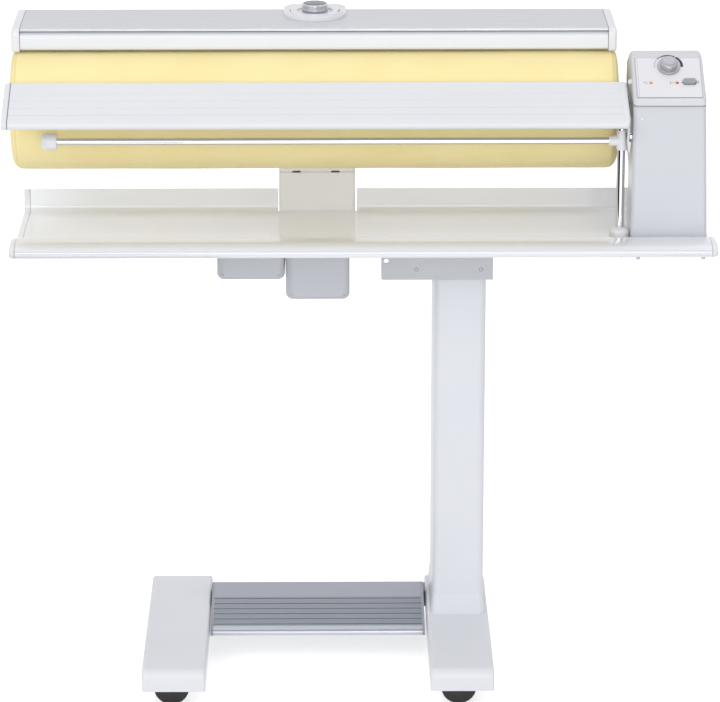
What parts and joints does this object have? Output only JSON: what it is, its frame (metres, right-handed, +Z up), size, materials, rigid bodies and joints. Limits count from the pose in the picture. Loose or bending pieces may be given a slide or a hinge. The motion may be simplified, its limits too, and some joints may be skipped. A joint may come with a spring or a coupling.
{
  "type": "flatwork ironer",
  "caption": "Free-standing roller ironer: cantilevered padded roller under a curved heated shoe, laundry tray, column stand with two feet on casters and a foot pedal.",
  "frame": {"origin": "on the floor, midway between the ends, the front and the back", "axes": "+X to the user's right along the roller, -Y to the front where the laundry goes in, +Z up"},
  "size_m": [0.985, 0.38, 0.9572],
  "materials": {
    "foot_grey": "satin silver grey paint",
    "frame_steel": "satin grey paint",
    "column_white": "satin pale grey paint",
    "bracket_grey": "satin grey paint",
    "bright_steel": "turned",
    "dark_plastic": "matt",
    "ribbed_aluminium": "satin, ribbed",
    "grey_plastic": "matt",
    "tray_white": "satin white paint",
    "white_plastic": "satin",
    "box_grey": "satin blue grey paint",
    "motor_black": "painted black",
    "housing_white": "satin white paint",
    "panel_white": "fine matt with printed scale",
    "lamp_lens": "clear coloured",
    "knob_grey": "satin",
    "cast_frame": "as cast",
    "gear_steel": "machined",
    "tube_steel": "drawn",
    "padding_felt": "felt",
    "cover_cloth": "woven cotton",
    "heater_aluminium": "polished",
    "element_steel": "heat tinted",
    "top_aluminium": "satin anodised",
    "chrome_knob": "bright",
    "chrome": "bright",
    "board_white": "extruded, white powder coat",
    "wheel_black": "matt"
  },
  "bodies": {
    "stand": {"left_foot": "foot_grey", "right_foot": "foot_grey", "crossbar": "frame_steel", "column": "column_white", "tilt_bracket": "bracket_grey", "stand_pins": "bright_steel", "pedal_switch": "dark_plastic"},
    "pedal": {"pedal_tread": "ribbed_aluminium", "pedal_end_caps": "grey_plastic"},
    "ironer": {"tray": "tray_white", "tray_end_caps": "white_plastic", "chassis": "frame_steel", "lift_pin": "bright_steel", "left_press_box": "box_grey", "right_press_box": "box_grey", "press_motor": "motor_black", "housing_body": "housing_white", "control_head": "white_plastic", "control_panel": "panel_white", "indicator_lamps": "lamp_lens", "thermostat": "dark_plastic", "bearing_frame": "cast_frame", "roller_bearings": "bright_steel", "drive_motor": "motor_black", "board_screw": "chrome", "post_foot": "white_plastic", "tray_screws": "bright_steel"},
    "roller": {"roller_tube": "tube_steel", "roller_end_discs": "white_plastic", "roller_shaft": "bright_steel", "roller_padding": "padding_felt", "roller_cloth": "cover_cloth", "roller_gear": "gear_steel"},
    "pinion": {"motor_pinion": "gear_steel"},
    "shoe": {"heater_plate": "heater_aluminium", "heating_elements": "element_steel", "heater_top_plate": "top_aluminium", "heater_cover": "housing_white", "heater_end_caps": "white_plastic", "dial_console": "white_plastic", "lift_arm": "frame_steel", "arm_cover": "white_plastic"},
    "pressure_knob": {"pressure_knob": "chrome_knob"},
    "finger_guard": {"finger_guard": "white_plastic"},
    "board": {"feeding_board": "board_white", "board_end_caps": "white_plastic"},
    "bar": {"laundry_bar": "chrome", "bar_fittings": "white_plastic"},
    "temperature_knob": {"temperature_knob": "knob_grey"},
    "rocker": {"rocker_switch": "white_plastic"},
    "front_left_caster": {"front_left_caster_hood": "dark_plastic"},
    "front_left_wheels": {"front_left_caster_wheels": "wheel_black"},
    "rear_left_caster": {"rear_left_caster_hood": "dark_plastic"},
    "rear_left_wheels": {"rear_left_caster_wheels": "wheel_black"},
    "front_right_caster": {"front_right_caster_hood": "dark_plastic"},
    "front_right_wheels": {"front_right_caster_wheels": "wheel_black"},
    "rear_right_caster": {"rear_right_caster_hood": "dark_plastic"},
    "rear_right_wheels": {"rear_right_caster_wheels": "wheel_black"}
  },
  "joints": [
    {"name": "pedal_press", "type": "hinge", "parent": "stand", "child": "pedal", "pos_m": [-0.06185, 0.116, 0.062], "axis": [1, 0, 0], "range_deg": [0, 8], "stiffness_Nm_per_rad": 6, "springref_deg": -8.59},
    {"name": "fold_down", "type": "hinge", "parent": "stand", "child": "ironer", "pos_m": [0.04, 0.095, 0.622], "axis": [0, -1, 0], "range_deg": [0, 90]},
    {"name": "roller_spin", "type": "hinge", "parent": "ironer", "child": "roller", "pos_m": [0, 0.0505, 0.8215], "axis": [-1, 0, 0], "continuous": true},
    {"name": "pinion_spin", "type": "hinge", "parent": "ironer", "child": "pinion", "pos_m": [0.435, -0.01711, 0.80338], "axis": [-1, 0, 0], "continuous": true},
    {"name": "shoe_lift", "type": "hinge", "parent": "ironer", "child": "shoe", "pos_m": [-0.06075, 0.118, 0.622], "axis": [-1, 0, 0], "range_deg": [0, 10]},
    {"name": "pressure_dial", "type": "hinge", "parent": "shoe", "child": "pressure_knob", "pos_m": [-0.063, 0.114, 0.946], "axis": [0, 0, 1], "range_deg": [-90, 90]},
    {"name": "guard_push", "type": "hinge", "parent": "shoe", "child": "finger_guard", "pos_m": [-0.06375, 0.033, 0.9325], "axis": [1, 0, 0], "range_deg": [0, 5], "stiffness_Nm_per_rad": 1, "springref_deg": -11.46},
    {"name": "board_fold", "type": "hinge", "parent": "ironer", "child": "board", "pos_m": [0.37, -0.066, 0.809], "axis": [1, 0, 0], "range_deg": [0, 20]},
    {"name": "bar_swing", "type": "hinge", "parent": "ironer", "child": "bar", "pos_m": [0.361, -0.0615, 0.7], "axis": [0, 0, 1], "range_deg": [0, 90]},
    {"name": "temperature_dial", "type": "hinge", "parent": "ironer", "child": "temperature_knob", "pos_m": [0.4262, -0.03329, 0.89885], "axis": [0, -0.5517, 0.834], "range_deg": [0, 270]},
    {"name": "rocker_press", "type": "hinge", "parent": "ironer", "child": "rocker", "pos_m": [0.4535, -0.05494, 0.87974], "axis": [0, 0.834, 0.5517], "range_deg": [0, 8]},
    {"name": "front_left_swivel", "type": "hinge", "parent": "stand", "child": "front_left_caster", "pos_m": [-0.2615, -0.148, 0.05], "axis": [0, 0, 1], "continuous": true},
    {"name": "front_left_roll", "type": "hinge", "parent": "front_left_caster", "child": "front_left_wheels", "pos_m": [-0.2695, -0.148, 0.025], "axis": [0, 1, 0], "continuous": true},
    {"name": "rear_left_swivel", "type": "hinge", "parent": "stand", "child": "rear_left_caster", "pos_m": [-0.2615, 0.148, 0.05], "axis": [0, 0, 1], "continuous": true},
    {"name": "rear_left_roll", "type": "hinge", "parent": "rear_left_caster", "child": "rear_left_wheels", "pos_m": [-0.2695, 0.148, 0.025], "axis": [0, 1, 0], "continuous": true},
    {"name": "front_right_swivel", "type": "hinge", "parent": "stand", "child": "front_right_caster", "pos_m": [0.14725, -0.148, 0.05], "axis": [0, 0, 1], "continuous": true},
    {"name": "front_right_roll", "type": "hinge", "parent": "front_right_caster", "child": "front_right_wheels", "pos_m": [0.13925, -0.148, 0.025], "axis": [0, 1, 0], "continuous": true},
    {"name": "rear_right_swivel", "type": "hinge", "parent": "stand", "child": "rear_right_caster", "pos_m": [0.14725, 0.148, 0.05], "axis": [0, 0, 1], "continuous": true},
    {"name": "rear_right_roll", "type": "hinge", "parent": "rear_right_caster", "child": "rear_right_wheels", "pos_m": [0.13925, 0.148, 0.025], "axis": [0, 1, 0], "continuous": true}
  ],
  "couplings": [
    {"joint": "pinion_spin", "follows": "roller_spin", "ratio": -3.6667}
  ]
}
